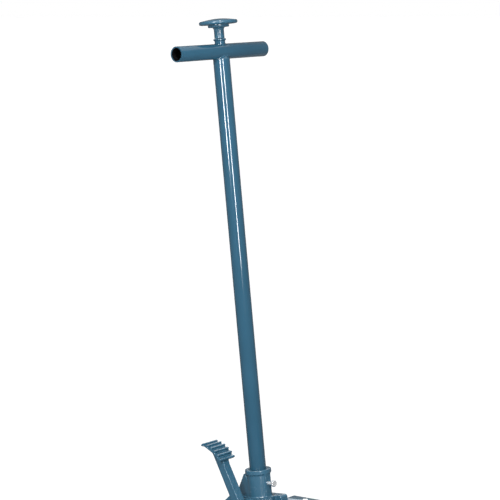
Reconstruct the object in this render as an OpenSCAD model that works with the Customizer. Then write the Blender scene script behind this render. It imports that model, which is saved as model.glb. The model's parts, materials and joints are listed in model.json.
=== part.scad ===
// Hydraulic trolley jack with a tall T-bar handle, a foot pedal and a lifting arm.
// X runs forward to the saddle, Y to the left, Z up from the floor.

/* [Handle] */
// Height of the handle's cross axle above the floor
axle_z = 120; // [118:1:122]
// Backward lean of the upright handle, in degrees
lean = 6.7; // [5:0.1:8]
// Outer diameter of the handle tube
tube_d = 35; // [34:0.5:36]
// Wall thickness of the handle tube and the T-bar
tube_wall = 2.5; // [2:0.5:3]
// Distance from the socket's top to the T-bar's axis
handle_len = 878; // [700:1:900]
// Length of the T-bar
bar_len = 267; // [200:1:300]
// Outer diameter of the T-bar
bar_d = 32; // [30:1:34]
// Diameter of the release knob's rim
knob_d = 80; // [60:1:90]

/* [Chassis] */
// Distance between the side plates' inner faces
inner_w = 144; // [144:1:150]
// Thickness of the side plates
plate_t = 5; // [4:0.5:6]
// Width of the side plates' flanges
flange_w = 16; // [10:1:20]
// Distance from the handle axle to the front wheels' axle
wheel_base = 605; // [600:1:620]
// Diameter of the front wheels
wheel_d = 80; // [76:1:84]
// Diameter of the caster wheels
caster_d = 60; // [56:1:62]
// Distance from the centre plane to each caster's swivel axis
caster_y = 140; // [140:1:150]

/* [Lift] */
// Length of the lift arm between its pins
arm_len = 330; // [320:1:335]
// Angle of the lowered lift arm below the horizontal
arm_drop = 8; // [8:0.5:9]
// Diameter of the saddle
saddle_d = 104; // [90:1:110]
// Radius from the lift pivot to the heel roller
heel_r = 55; // [54:1:56]
// Height of the ram's axis
ram_z = 71; // [70:1:72]

/* [Hidden] */
$fn = 48;

// Colours
paint = [0.23, 0.39, 0.48];
steel = [0.62, 0.64, 0.66];
dark = [0.16, 0.17, 0.18];
rubber = [0.08, 0.08, 0.09];

// Running clearance of a shaft in its bore, and the gap where pieces only face each other
fit = 0.05;
gap = 0.5;

// Stations along the leaning handle, measured from the handle axle
shoulder_s = 42;
ear_top_s = 42;
collar_s = 90.5;
socket_top_s = 100;
bore_floor_s = 37;
bar_s = socket_top_s + handle_len;
bush_ring_s = bar_s + 22.5;
neck_s = bar_s - bar_d / 2;
neck_h = 7;
neck_r = 13;
stem_s = bar_s + 27;
knob_hub_s = bar_s + 50;
rim_s = bar_s + 56;
rim_top_s = rim_s + 6;
screw_s = 70.7;

// The origin is midway between the knob's rear edge and the front wheels' front edge
rear_reach = rim_top_s * sin(lean) + knob_d / 2 * cos(lean);
front_reach = wheel_base + wheel_d / 2;
axle_x = (rear_reach - front_reach) / 2;
front_x = axle_x + wheel_base;
front_z = wheel_d / 2;

// Side plates
plate_in = inner_w / 2;
plate_out = plate_in + plate_t;
flange_out = plate_out + flange_w;

// Lift linkage: the arm's pivot, the head pin, and the same offset from each to the rods' pins
pivot_x = axle_x + 240;
pivot_z = 122;
pivot_r = 12;
head_x = pivot_x + arm_len * cos(arm_drop);
head_z = pivot_z - arm_len * sin(arm_drop);
rod_dx = -18;
rod_dz = 28;
saddle_z = head_z + 41;
arm_y0 = 38;
arm_y1 = 46;
rod_y0 = 50;
rod_y1 = 56;
heel_back = 33;
heel_x = pivot_x - heel_r * sin(heel_back);
heel_z = pivot_z - heel_r * cos(heel_back);
heel_roller_r = 18;

// Tie rod between the side plates' rear ends
tie_x = axle_x - 34;
tie_z = 80;

// Pump linkage under the handle axle
axle_r = 10;
pump_r = 28;
pump_back = 27.5;
pump_roller_r = 12;
pump_z = axle_z - 27;
toe_r = 26;
toe_back = 20;
toe_nose_r = 9;
toe_web_half = 5;
quick_z = axle_z - 25;
pedal_y = -56;
pedal_lean = 30.4;

// Release linkage in the socket's fork
release_r = 5;
lever_x = 30;
lever_s = 18.5;
lever_arm_s = 17;
rod_end_s = lever_arm_s + 6.5;
rod_top_s = stem_s + 16;
rod_tip = 1.5;
valve_z = axle_z + 6;
valve_tip_x = axle_x + 36.4;

// Power unit
block_x0 = axle_x + 58;
block_x1 = axle_x + 110;
block_y = 66;
block_z0 = 38;
block_z1 = 141;
filler_x = block_x1 - 20;
filler_y = 24;
tank_r = 42;
tank_x1 = axle_x + 170;
ram_r = 15;
ram_x0 = block_x1 - 22;
ram_head_x1 = heel_x - heel_roller_r - 0.9;
ram_head_x0 = ram_head_x1 - 6;
spring_y = 58;
cover_y = 78;

// Fork cheeks of the socket
cheek_y0 = 13;
cheek_y1 = 34;
body_r = 24.7;

// Casters
caster_x = axle_x + 15;
caster_trail = 22;
caster_r = caster_d / 2;
caster_top = 92;
wing_z = 98;

// A cylinder along Y, from y0 to y1, centred at x and z
module bar_y(x, z, y0, y1, r) {
    translate([x, y0, z])
        rotate([-90, 0, 0])
            cylinder(h = y1 - y0, r = r);
}

// A cylinder along X, from x0 to x1, centred at y and z
module bar_x(x0, x1, y, z, r) {
    translate([x0, y, z])
        rotate([0, 90, 0])
            cylinder(h = x1 - x0, r = r);
}

// A tube along Y
module tube_y(x, z, y0, y1, r_out, r_in) {
    difference() {
        bar_y(x, z, y0, y1, r_out);
        bar_y(x, z, y0 - 1, y1 + 1, r_in);
    }
}

// A tube along X
module tube_x(x0, x1, y, z, r_out, r_in) {
    difference() {
        bar_x(x0, x1, y, z, r_out);
        bar_x(x0 - 1, x1 + 1, y, z, r_in);
    }
}

// A flat outline drawn in X and Z, given thickness from y0 to y1
module wall(y0, y1) {
    translate([0, y1, 0])
        rotate([90, 0, 0])
            linear_extrude(y1 - y0)
                children();
}

// A block between two corners
module block(a, b) {
    translate(a)
        cube(b - a);
}

// The upright handle's own frame: Z runs up the leaning handle from its axle
module leaned() {
    translate([axle_x, 0, axle_z])
        rotate([0, -lean, 0])
            children();
}

// The same on the side given by side, 1 for left and -1 for right
module on_side(side) {
    mirror([0, side < 0 ? 1 : 0, 0])
        children();
}

// A band of thickness t under a line of points
module band(points, t) {
    last = len(points) - 1;
    polygon(concat(points, [for (i = [last:-1:0]) points[i] - [0, t]]));
}

// ---- Chassis ----

// The line of the side plate's top edge, from the rear to the front
plate_top = [for (p = [[10, 137], [24, 147], [212, 158], [246, 158], [330, 132], [520, 84]])
    [axle_x + p[0], p[1]]];

// The line of the side plate's bottom edge, from the front to the rear
plate_low = [for (p = [[550, 26], [100, 34], [70, 40], [-12, 58], [-46, 68], [-46, 114]])
    [axle_x + p[0], p[1]]];

module plate_outline() {
    polygon(concat(plate_top, [[front_x, front_z + 26], [front_x, front_z - 26]], plate_low));
    translate([front_x, front_z])
        circle(r = 26);
}

module side_plate(side) {
    flange_low = [for (i = [1:-1:0]) plate_low[i] + [0, plate_t]];
    color(paint)
        on_side(side)
            difference() {
                union() {
                    wall(plate_in, plate_out)
                        plate_outline();
                    wall(plate_out - 0.01, flange_out)
                        band([for (i = [3:5]) plate_top[i]], plate_t);
                    wall(plate_out - 0.01, flange_out)
                        band(flange_low, plate_t);
                }
                bar_y(axle_x, axle_z, 0, 100, axle_r + fit);
                bar_y(pivot_x, pivot_z, 0, 100, pivot_r + fit);
                bar_y(pivot_x + rod_dx, pivot_z + rod_dz, 0, 100, 6 + fit);
                bar_y(front_x, front_z, 0, 100, axle_r + fit);
                bar_y(tie_x, tie_z, 0, 100, 6 + fit);
                for (p = bolt_places)
                    bar_y(p[0], p[1], 0, 100, 6 + fit);
            }
}

module front_cross_member() {
    color(paint)
        difference() {
            block([front_x + 4, -plate_in, front_z - 18], [front_x + 24, plate_in, front_z + 20]);
            block([front_x + 3, -plate_in - 1, front_z - 13], [front_x + 19, plate_in + 1, front_z + 15]);
        }
}

module rear_tie_rod() {
    color(steel) {
        bar_y(tie_x, tie_z, -plate_out - 3, plate_out + 3, 6);
        tube_y(tie_x, tie_z, -plate_in, plate_in, 9, 6);
    }
}

// Brackets that stand out from the side plates and carry the casters
module caster_wings() {
    color(paint)
        for (side = [-1, 1])
            on_side(side)
                difference() {
                    union() {
                        block(
                            [caster_x - 40, plate_out, wing_z],
                            [caster_x + 40, caster_y + 36, wing_z + 6]
                        );
                        for (x = [caster_x - 40, caster_x + 34])
                            translate([x, 0, 0])
                                rotate([90, 0, 90])
                                    linear_extrude(6)
                                        polygon([
                                            [plate_out, wing_z + 6], [caster_y - 30, wing_z + 6],
                                            [plate_out, wing_z + 22]
                                        ]);
                    }
                    for (p = caster_bolt_places)
                        translate([p[0], p[1], 0])
                            cylinder(h = 200, r = 4.2);
                }
}

// Bolt places shared by the casters' plates and the brackets
caster_bolt_places = [for (dx = [-28, 28], dy = [-22, 22]) [caster_x + dx, caster_y + dy]];

module caster_plates() {
    color(steel)
        for (side = [-1, 1])
            on_side(side)
                difference() {
                    union() {
                        block(
                            [caster_x - 36, caster_y - 30, caster_top],
                            [caster_x + 36, caster_y + 30, wing_z]
                        );
                        translate([caster_x, caster_y, caster_top - 7])
                            cylinder(h = 8, r = 23);
                        translate([caster_x, caster_y, caster_top - 20])
                            cylinder(h = 20, r = 6);
                    }
                    for (p = caster_bolt_places)
                        translate([p[0], p[1], 0])
                            cylinder(h = 200, r = 4.2);
                }
}

module caster_bolts() {
    color(steel)
        for (side = [-1, 1], p = caster_bolt_places)
            on_side(side)
                translate([p[0], p[1], 0]) {
                    translate([0, 0, caster_top - 5])
                        cylinder(h = 5, r = 7, $fn = 6);
                    translate([0, 0, caster_top])
                        cylinder(h = wing_z + 6 - caster_top, r = 4);
                    translate([0, 0, wing_z + 6])
                        cylinder(h = 6.5, r = 7.5, $fn = 6);
                }
}

module caster_fork(side) {
    color(steel)
        on_side(side)
            translate([caster_x, caster_y, 0]) {
                difference() {
                    union() {
                        translate([0, 0, 66])
                            cylinder(h = caster_top - 7.3 - 66, r = 21);
                        for (y = [-17, 14])
                            wall(y, y + 3)
                                polygon([
                                    [-caster_trail - 9, caster_r - 7], [-caster_trail + 9, caster_r - 7],
                                    [16, 69], [-16, 69], [-caster_trail - 9, caster_r + 7]
                                ]);
                    }
                    translate([0, 0, 60])
                        cylinder(h = 40, r = 6 + fit);
                    translate([0, 0, 60])
                        cylinder(h = 13, r = 14);
                }
                bar_y(-caster_trail, caster_r, -19, 19, 4);
            }
}

module caster_wheel(side) {
    color(rubber)
        on_side(side)
            translate([caster_x - caster_trail, caster_y, caster_r])
                rotate([90, 0, 0])
                    rotate_extrude()
                        polygon([
                            [4 + fit, -13.5], [12, -13.5], [12, -11], [25, -11],
                            [caster_r - 3, -13], [caster_r, -9], [caster_r, 9], [caster_r - 3, 13],
                            [25, 11], [12, 11], [12, 13.5], [4 + fit, 13.5]
                        ]);
}

module front_axle() {
    color(steel)
        bar_y(front_x, front_z, -128, 128, axle_r);
}

module front_wheel(side) {
    tread_r = wheel_d / 2;
    color(dark)
        on_side(side)
            translate([front_x, 102, front_z])
                rotate([90, 0, 0])
                    rotate_extrude()
                        polygon([
                            [axle_r + fit, -20], [18, -20], [18, -12], [31, -12], [34, -18],
                            [tread_r - 2, -18], [tread_r, -15], [tread_r, 15], [tread_r - 2, 18],
                            [34, 18], [31, 12], [18, 12], [18, 20], [axle_r + fit, 20]
                        ]);
}

// ---- Power unit ----

// Places of the bolts that hold the power unit between the side plates
bolt_places = [[block_x0 + 13, 60], [block_x1 - 13, 60], [block_x0 + 13, 122], [block_x1 - 13, 122]];

module power_unit_block() {
    color(paint)
        difference() {
            union() {
                block([block_x0, -block_y, block_z0], [block_x1, block_y, block_z1]);
                for (p = bolt_places)
                    bar_y(p[0], p[1], -plate_in, plate_in, 11);
            }
            for (p = bolt_places, side = [-1, 1])
                on_side(side)
                    bar_y(p[0], p[1], block_y - 20, plate_in + 1, 6);
            bar_x(block_x0 - 1, block_x1 - 8, 0, pump_z, 8 + fit);
            bar_x(block_x0 - 1, block_x1 - 20, pedal_y, quick_z, 6 + fit);
            bar_x(block_x0 - 1, block_x0 + 20, 0, valve_z, 4 + fit);
            bar_x(ram_x0 - 4, block_x1 + 1, 0, ram_z, ram_r + 3);
            translate([filler_x, filler_y, block_z1 - 10])
                cylinder(h = 12, r = 8);
            for (p = cover_screw_places)
                translate([p[0], p[1], block_z1 - 10])
                    cylinder(h = 12, r = 3.1);
        }
}

module reservoir() {
    color(paint)
        tube_x(block_x1, tank_x1, 0, ram_z, tank_r, tank_r - 4);
}

// Closes the reservoir and guides the ram
module cylinder_end_cap() {
    color(steel)
        difference() {
            union() {
                bar_x(tank_x1, tank_x1 + 6, 0, ram_z, tank_r);
                bar_x(tank_x1 - 20, tank_x1 + 1, 0, ram_z, tank_r - 4.05);
                bar_x(block_x1, tank_x1, 0, ram_z, ram_r + 7);
            }
            bar_x(block_x1 - 1, tank_x1 + 20, 0, ram_z, ram_r + fit);
        }
}

module gland(y, z, r_out, r_in, len) {
    difference() {
        union() {
            translate([block_x0 - len, y, z])
                rotate([0, 90, 0])
                    cylinder(h = len * 0.6, r = r_out, $fn = 6);
            bar_x(block_x0 - len * 0.4, block_x0, y, z, r_out * 0.8);
        }
        bar_x(block_x0 - len - 1, block_x0 + 1, y, z, r_in + fit);
    }
}

module pump_glands() {
    color(steel) {
        gland(0, pump_z, 16, 8, 12);
        gland(pedal_y, quick_z, 13, 6, 12);
        gland(0, valve_z, 10, 4, 9);
    }
}

module pump_plunger() {
    head_x = axle_x - pump_r * sin(pump_back) + pump_roller_r + gap;
    color(steel) {
        bar_x(head_x, head_x + 6, 0, pump_z, 12.5);
        bar_x(head_x + 6, block_x0 + 2, 0, pump_z, 8);
    }
}

module quick_plunger() {
    head_x = axle_x - toe_r * sin(toe_back) + toe_nose_r + gap;
    color(steel) {
        bar_x(head_x, head_x + 5, pedal_y, quick_z, 9.5);
        bar_x(head_x + 5, block_x0 + 10, pedal_y, quick_z, 6);
    }
}

module pump_spring() {
    head_x = axle_x - pump_r * sin(pump_back) + pump_roller_r + gap + 6;
    color(steel)
        tube_x(head_x + 0.2, block_x0 - 12.2, 0, pump_z, 12, 9);
}

module quick_pump_spring() {
    head_x = axle_x - toe_r * sin(toe_back) + toe_nose_r + gap + 5;
    color(steel)
        tube_x(head_x + 0.2, block_x0 - 12.2, pedal_y, quick_z, 9.5, 7);
}

module release_valve_pin() {
    color(steel)
        bar_x(valve_tip_x, block_x0 + 12, 0, valve_z, 4);
}

// The cover's top line: a short rear lip, then a gentle rise to the front
cover_line = [for (p = [[9, 139.5], [23, 150], [100, 154.5], [204, 160.6]]) [axle_x + p[0], p[1]]];

module power_unit_cover() {
    color(paint)
        difference() {
            wall(-cover_y, cover_y)
                band(cover_line, 3);
            block([axle_x, -40, 120], [axle_x + 66, 40, 170]);
            bar_z_hole(filler_x, filler_y, 9);
            for (p = cover_screw_places)
                bar_z_hole(p[0], p[1], 3.2);
        }
}

// A hole through the cover
module bar_z_hole(x, y, r) {
    translate([x, y, 140])
        cylinder(h = 40, r = r);
}

cover_screw_places = [for (x = [block_x0 + 14, block_x1 - 8], y = [-56, 56]) [x, y]];

module cover_screws() {
    color(steel)
        for (p = cover_screw_places) {
            rise = (p[0] - axle_x - 23) * tan(3.3);
            translate([p[0], p[1], 150.3 + rise])
                cylinder(h = 3.5, r = 6.5);
            translate([p[0], p[1], block_z1 - 9])
                cylinder(h = 151 - block_z1 + 9 + rise, r = 3);
        }
}

module filler_plug() {
    color(dark) {
        translate([filler_x, filler_y, block_z1 - 9])
            cylinder(h = 12, r = 7.9);
        translate([filler_x, filler_y, block_z1])
            cylinder(h = 6, r = 8.5);
    }
}

module power_unit_bolts() {
    color(steel)
        for (p = bolt_places, side = [-1, 1])
            on_side(side) {
                bar_y(p[0], p[1], block_y - 18, plate_out, 5.9);
                bar_y(p[0], p[1], plate_out, plate_out + 1.5, 12);
                translate([p[0], plate_out + 1.5, p[1]])
                    rotate([-90, 0, 0])
                        cylinder(h = 7, r = 10, $fn = 6);
            }
}

// ---- Shafts ----

module handle_axle() {
    color(steel)
        bar_y(axle_x, axle_z, -plate_out - 7, plate_out + 7, axle_r);
}

module axle_circlips() {
    color(dark) {
        for (side = [-1, 1])
            on_side(side) {
                tube_y(axle_x, axle_z, plate_out + 2, plate_out + 4, 14, axle_r);
                tube_y(front_x, front_z, 123, 125, 14, axle_r);
                tube_y(front_x, front_z, plate_out + 1, plate_out + 3, 14, axle_r);
            }
    }
}

module axle_spacers() {
    color(steel) {
        tube_y(axle_x, axle_z, cheek_y1 + 0.3, plate_in, 14, axle_r);
        tube_y(axle_x, axle_z, -plate_in, pedal_y - 10.3, 14, axle_r);
    }
}

module pivot_shaft() {
    color(steel)
        bar_y(pivot_x, pivot_z, -plate_out - 14, plate_out + 14, pivot_r);
}

module pivot_nuts() {
    color(steel)
        for (side = [-1, 1])
            on_side(side)
                difference() {
                    union() {
                        bar_y(pivot_x, pivot_z, plate_out, plate_out + 2, 21);
                        translate([pivot_x, plate_out + 2, pivot_z])
                            rotate([-90, 0, 0])
                                cylinder(h = 10, r = 19, $fn = 6);
                    }
                    bar_y(pivot_x, pivot_z, 0, 120, pivot_r);
                }
}

// Studs that hold the radius rods' rear ends to the side plates
module rod_studs() {
    color(steel)
        for (side = [-1, 1])
            on_side(side) {
                bar_y(pivot_x + rod_dx, pivot_z + rod_dz, rod_y0 - 3, plate_out + 2, 6);
                bar_y(pivot_x + rod_dx, pivot_z + rod_dz, rod_y0 - 3.5, rod_y0 - 1, 9);
                translate([pivot_x + rod_dx, plate_out, pivot_z + rod_dz])
                    rotate([-90, 0, 0])
                        cylinder(h = 8, r = 10, $fn = 6);
            }
}

module spring_anchors() {
    color(steel)
        for (side = [-1, 1])
            bar_x(block_x1, block_x1 + 8, side * spring_y, ram_z, 4);
}

// ---- Lift ----

module lift_arm() {
    up = rod_half(24, 15);
    color(paint)
        difference() {
            union() {
                for (side = [-1, 1])
                    on_side(side)
                        wall(arm_y0, arm_y1)
                            arm_outline();
                wall(-arm_y0 - 0.01, arm_y0 + 0.01)
                    translate([pivot_x, pivot_z])
                        rotate(-arm_drop)
                            polygon([[30, up[0] - 6], [30, up[0] - 1], [250, up[1]], [250, up[1] - 5]]);
                bar_y(pivot_x, pivot_z, -arm_y1 - 3, arm_y1 + 3, 17);
            }
            bar_y(pivot_x, pivot_z, -60, 60, pivot_r + fit);
            bar_y(head_x, head_z, -60, 60, axle_r);
            bar_y(heel_x, heel_z, -60, 60, 8);
        }
}

// Distance of the arm's top edge from its centre line, at 30 and at 250 from the pivot
function rod_half(big, small) = [
    big + (small - big) * 30 / arm_len,
    big + (small - big) * 250 / arm_len
];

module arm_outline() {
    translate([pivot_x, pivot_z])
        rotate(-arm_drop) {
            circle(r = 24);
            polygon([[0, 24], [arm_len, 15], [arm_len, -15], [60, -28], [0, -24]]);
            translate([arm_len, 0])
                circle(r = 15);
        }
    translate([heel_x, heel_z])
        circle(r = 13);
    translate([pivot_x, pivot_z])
        rotate(-90 - heel_back)
            polygon([[0, -13], [heel_r, -13], [heel_r, 13], [0, 22]]);
}

module heel_roller_pin() {
    color(steel)
        bar_y(heel_x, heel_z, -arm_y1 - 3, arm_y1 + 3, 8);
}

module heel_roller() {
    color(steel)
        tube_y(heel_x, heel_z, -20, 20, heel_roller_r, 8 + fit);
}

module head_pin() {
    color(steel)
        bar_y(head_x, head_z, -arm_y1 - 4, arm_y1 + 4, axle_r);
}

module ram() {
    color(steel) {
        bar_x(ram_x0, ram_head_x0, 0, ram_z, ram_r);
        bar_x(ram_head_x0, ram_head_x1, 0, ram_z, 21);
        block([ram_head_x0 - 8, -62, ram_z - 6], [ram_head_x0 + 1, 62, ram_z + 4]);
    }
}

module lift_springs() {
    color(dark)
        for (side = [-1, 1])
            tube_x(block_x1 + 8.2, ram_head_x0 - 8.2, side * spring_y, ram_z, 6.5, 4.5);
}

module radius_rod(side) {
    color(paint)
        on_side(side)
            translate([rod_dx, 0, rod_dz])
                difference() {
                    wall(rod_y0, rod_y1)
                        translate([pivot_x, pivot_z])
                            rotate(-arm_drop) {
                                circle(r = 11);
                                translate([arm_len, 0])
                                    circle(r = 11);
                                translate([0, -8])
                                    square([arm_len, 16]);
                            }
                    bar_y(pivot_x, pivot_z, 0, 100, 6 + fit);
                    bar_y(head_x, head_z, 0, 100, 6 + fit);
                }
}

module saddle_carrier() {
    color(paint)
        difference() {
            union() {
                wall(-36, 36)
                    polygon([for (p = [[-32, 40], [-32, 20], [-14, -13], [14, -13], [20, 0], [20, 34]])
                        [head_x + p[0], head_z + p[1]]]);
                bar_y(head_x, head_z, -36, 36, 15);
                translate([head_x, 0, head_z + 30])
                    cylinder(h = saddle_z - head_z - 30.3, r = 24);
            }
            bar_y(head_x, head_z, -60, 60, axle_r + fit);
            bar_y(head_x + rod_dx, head_z + rod_dz, -60, 60, 6);
            translate([head_x, 0, head_z + 12.5])
                cylinder(h = 60, r = 11 + fit);
        }
}

module rod_pin() {
    color(steel) {
        bar_y(head_x + rod_dx, head_z + rod_dz, -rod_y1 - 3, rod_y1 + 3, 6);
        for (side = [-1, 1])
            on_side(side)
                tube_y(head_x + rod_dx, head_z + rod_dz, rod_y1 + 0.3, rod_y1 + 2, 10, 6);
    }
}

module saddle() {
    color(dark)
        difference() {
            union() {
                translate([head_x, 0, head_z + 14])
                    cylinder(h = saddle_z - head_z - 13, r = 11);
                translate([head_x, 0, saddle_z])
                    cylinder(h = 13, r = saddle_d / 2);
                for (a = [0:90:270])
                    translate([head_x, 0, saddle_z])
                        rotate([0, 0, a + 45])
                            translate([saddle_d / 2 - 12, -11, 0])
                                cube([12, 22, 21]);
            }
            translate([head_x, 0, saddle_z + 5])
                cylinder(h = 9, r = saddle_d / 2 - 8);
        }
}

module saddle_pad() {
    pad_r = saddle_d / 2 - 12.5;
    color(rubber)
        difference() {
            translate([head_x, 0, saddle_z + 5])
                cylinder(h = 13, r = pad_r);
            for (a = [0, 90])
                translate([head_x, 0, saddle_z + 14])
                    rotate([0, 0, a])
                        translate([-pad_r - 1, -3, 0])
                            cube([2 * pad_r + 2, 6, 5]);
        }
}

// ---- Handle socket ----

module cheek_outline() {
    circle(r = 26);
    rotate(-90 - pump_back - lean)
        translate([pump_r, 0])
            circle(r = 15);
    polygon([
        [-26, 0], [26, -2], [42, 6], [47, 14], [47, 38], [43.5, ear_top_s], [-44, ear_top_s], [-48, 26]
    ]);
    rotate(-90 - pump_back - lean)
        polygon([[0, -25], [pump_r, -15], [pump_r, 15], [0, 25]]);
}

module handle_socket() {
    color(paint)
        leaned()
            difference() {
                union() {
                    for (side = [-1, 1])
                        on_side(side)
                            wall(cheek_y0, cheek_y1)
                                cheek_outline();
                    block([-48, -cheek_y1, 26], [22, cheek_y1, ear_top_s]);
                    translate([0, 0, 26])
                        cylinder(h = shoulder_s - 26, r = 33);
                    translate([0, 0, 26])
                        cylinder(h = socket_top_s - 26, r = body_r);
                    translate([0, 0, collar_s])
                        cylinder(h = socket_top_s - collar_s, r = 27.7);
                    rear_web();
                    block([0, -9, ear_top_s], [26.3, 9, collar_s]);
                }
                translate([0, 0, bore_floor_s])
                    cylinder(h = 100, r = tube_d / 2 + fit);
                cylinder(h = 100, r = release_r + 2);
                bar_x(0, 40, 0, screw_s, 4 + fit);
                bar_y(0, 0, -60, 60, axle_r + fit);
                bar_y(lever_x, lever_s, -60, 60, 4);
                rotate([0, 90 + pump_back + lean, 0])
                    translate([pump_r, 0, 0])
                        rotate([-90, 0, 0])
                            translate([0, 0, -60])
                                cylinder(h = 120, r = 5);
            }
}

// The web under the collar's rear, as wide as the socket's body where they meet
module rear_web() {
    intersection() {
        wall(-body_r, body_r)
            polygon([[-20, collar_s], [-25.5, collar_s], [-57, shoulder_s + 2], [-59, 28], [0, 28]]);
        translate([0, 0, 28])
            linear_extrude(collar_s - 28)
                polygon([[0, -body_r + 0.2], [-59, -11], [-59, 11], [0, body_r - 0.2]]);
    }
}

// Pins of the pump roller and the release lever, held in the fork
module socket_pins() {
    color(steel)
        leaned() {
            bar_y(lever_x, lever_s, -cheek_y1 - 2, cheek_y1 + 2, 4);
            rotate([0, 90 + pump_back + lean, 0])
                translate([pump_r, 0, 0])
                    rotate([-90, 0, 0])
                        translate([0, 0, -cheek_y1 - 2])
                            cylinder(h = 2 * cheek_y1 + 4, r = 5);
        }
}

module pump_roller() {
    color(steel)
        tube_y(
            axle_x - pump_r * sin(pump_back), axle_z - pump_r * cos(pump_back),
            -11.5, 11.5, pump_roller_r, 5 + fit
        );
}

module handle_tube() {
    color(paint)
        leaned()
            difference() {
                union() {
                    translate([0, 0, bore_floor_s])
                        cylinder(h = neck_s - bore_floor_s, r = tube_d / 2);
                    translate([0, 0, neck_s])
                        cylinder(h = neck_h, r1 = tube_d / 2, r2 = neck_r);
                }
                translate([0, 0, bore_floor_s - 1])
                    cylinder(h = neck_s + 1 - bore_floor_s, r = tube_d / 2 - tube_wall);
                translate([0, 0, neck_s])
                    cylinder(h = neck_h, r1 = tube_d / 2 - tube_wall, r2 = neck_r - tube_wall);
                bar_y(0, bar_s, -60, 60, bar_d / 2);
            }
}

module t_bar() {
    color(paint)
        leaned()
            difference() {
                bar_y(0, bar_s, -bar_len / 2, bar_len / 2, bar_d / 2);
                bar_y(0, bar_s, -bar_len, bar_len, bar_d / 2 - tube_wall);
                translate([0, 0, bar_s - 40])
                    cylinder(h = 80, r = release_r + 1);
            }
}

module knob_bush() {
    color(paint)
        leaned()
            difference() {
                union() {
                    translate([0, 0, bar_s + 5])
                        cylinder(h = bush_ring_s - bar_s - 5, r = 11);
                    translate([0, 0, bush_ring_s])
                        cylinder(h = 4, r = 13);
                }
                bar_y(0, bar_s, -60, 60, bar_d / 2);
                translate([0, 0, bar_s])
                    cylinder(h = 40, r = release_r + 1);
            }
}

module release_knob() {
    color(paint)
        leaned()
            difference() {
                rotate_extrude()
                    polygon([
                        [0, stem_s], [10.5, stem_s], [10.5, knob_hub_s - 3], [13, knob_hub_s],
                        [22, knob_hub_s], [22, rim_s - 1], [knob_d / 2 - 3, rim_s],
                        [knob_d / 2, rim_s + 2], [knob_d / 2, rim_top_s], [knob_d / 2 - 4, rim_top_s + 1.6],
                        [18, rim_top_s + 5], [0, rim_top_s + 6]
                    ]);
                translate([0, 0, stem_s - 1])
                    cylinder(h = 24, r = release_r + fit);
            }
}

module release_rod() {
    color(steel)
        leaned()
            translate([0, 0, rod_end_s]) {
                cylinder(h = rod_tip, r1 = 2, r2 = release_r);
                translate([0, 0, rod_tip])
                    cylinder(h = rod_top_s - rod_end_s - rod_tip, r = release_r);
            }
}

module release_lever() {
    color(steel)
        leaned()
            difference() {
                union() {
                    bar_y(lever_x, lever_s, -8, 8, 7);
                    block([-6, -6, lever_arm_s], [lever_x, 6, lever_arm_s + 6]);
                    wall(-6, 6)
                        polygon([[lever_x - 7, lever_s], [lever_x + 7, lever_s], [35.5, -6], [29, -6]]);
                }
                bar_y(lever_x, lever_s, -20, 20, 4 + fit);
            }
}

module thumb_screw() {
    color(steel)
        leaned() {
            bar_x(tube_d / 2 + 0.4, 39.5, 0, screw_s, 4);
            bar_x(39, 43.6, 0, screw_s, 7.5);
        }
}

// ---- Foot pedal ----

module foot_pedal() {
    color(paint)
        difference() {
            union() {
                translate([axle_x, 0, axle_z])
                    rotate([0, -pedal_lean, 0]) {
                        bar_y(0, 0, pedal_y - 10, pedal_y + 10, 14.5);
                        wall(pedal_y - 9.5, pedal_y + 9.5)
                            polygon([[-5, 0], [14.6, 0], [14.6, 146], [8, 153], [-3, 164]]);
                        wall(pedal_y - 8, pedal_y + 8)
                            polygon([[-28, 44], [-2, 36], [-2, 62], [-25, 57]]);
                        wall(pedal_y - 23, pedal_y + 23)
                            tread_outline();
                    }
                translate([axle_x, 0, axle_z])
                    toe();
            }
            bar_y(axle_x, axle_z, -100, 0, axle_r + fit);
        }
}

// The tread is a curved plate with rounded ribs across it
tread_r = 66;
tread_x = -43;
tread_s = 125;
tread_angles = [for (i = [0:5]) 9 + i * 9.8];

module tread_outline() {
    translate([tread_x, tread_s]) {
        difference() {
            intersection() {
                circle(r = tread_r);
                polygon([for (a = [6, 34, 60]) 2 * tread_r * [cos(a), sin(a)], [0, 0]]);
            }
            circle(r = tread_r - 6);
        }
        for (a = tread_angles)
            rotate(a)
                translate([tread_r - 1, 0])
                    circle(r = 3);
    }
}

// The nose under the hub pushes the quick pump's plunger
module toe() {
    wall(pedal_y - 8, pedal_y + 8)
        rotate(-90 - toe_back) {
            translate([toe_r, 0])
                circle(r = toe_nose_r);
            translate([0, -toe_web_half])
                square([toe_r, 2 * toe_web_half]);
        }
}

// Torsion spring round the axle beside the pedal
module pedal_spring() {
    color(dark)
        tube_y(axle_x, axle_z, pedal_y + 10.5, -cheek_y1 - 0.5, 16, 13);
}

side_plate(-1);  // side_plate_right
side_plate(1);  // side_plate_left
front_cross_member();
rear_tie_rod();
caster_wings();
caster_plates();
caster_bolts();
power_unit_block();
reservoir();
cylinder_end_cap();
pump_glands();
power_unit_cover();
cover_screws();
filler_plug();
power_unit_bolts();
handle_axle();
axle_circlips();
axle_spacers();
pivot_shaft();
pivot_nuts();
rod_studs();
front_axle();
spring_anchors();
pump_spring();
quick_pump_spring();
lift_springs();
pedal_spring();
lift_arm();
heel_roller_pin();
head_pin();
heel_roller();
ram();
radius_rod(-1);  // radius_rod_right
radius_rod(1);  // radius_rod_left
saddle_carrier();
rod_pin();
saddle();
saddle_pad();
handle_socket();
socket_pins();
pump_roller();
pump_plunger();
handle_tube();
t_bar();
knob_bush();
release_knob();
release_rod();
release_lever();
release_valve_pin();
thumb_screw();
foot_pedal();
quick_plunger();
front_wheel(-1);  // front_wheel_right
front_wheel(1);  // front_wheel_left
caster_fork(-1);  // caster_fork_right
caster_fork(1);  // caster_fork_left
caster_wheel(-1);  // caster_wheel_right
caster_wheel(1);  // caster_wheel_left
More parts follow.
